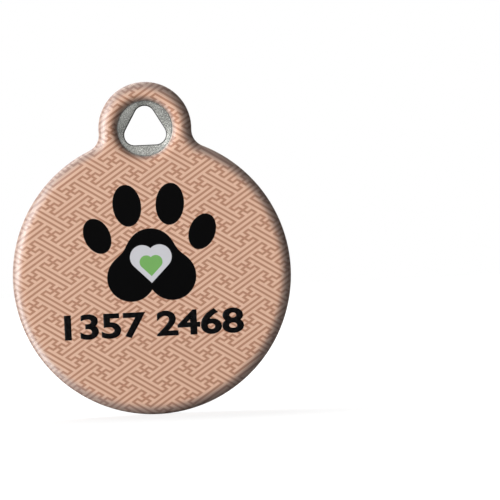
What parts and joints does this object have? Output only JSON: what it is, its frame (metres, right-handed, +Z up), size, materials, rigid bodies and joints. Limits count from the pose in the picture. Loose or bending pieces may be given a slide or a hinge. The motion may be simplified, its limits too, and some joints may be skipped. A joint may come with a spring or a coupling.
{
  "type": "pet id tag",
  "caption": "Round pet identity tag: a steel core plate closed between a printed front shell and a plain back shell, with a three-cornered hanging hole in a round tab.",
  "frame": {"origin": "centre of the three-cornered hanging hole, on the plane where the two shells part", "axes": "+Z up along the tag as it hangs, from the disc to the tab; the printed front faces -Y; +X is to the right of someone who looks at the front"},
  "size_m": [0.032, 0.0032, 0.0383],
  "materials": {
    "bare_steel": "tumbled stainless steel, fine random grain",
    "printed_plastic": "moulded plastic, colour dyed into the face and round the edge, smooth gloss",
    "white_plastic": "white moulded plastic, smooth gloss"
  },
  "bodies": {
    "root": {"steel_core": "bare_steel", "front_shell": "printed_plastic", "back_shell": "white_plastic"}
  },
  "joints": []
}
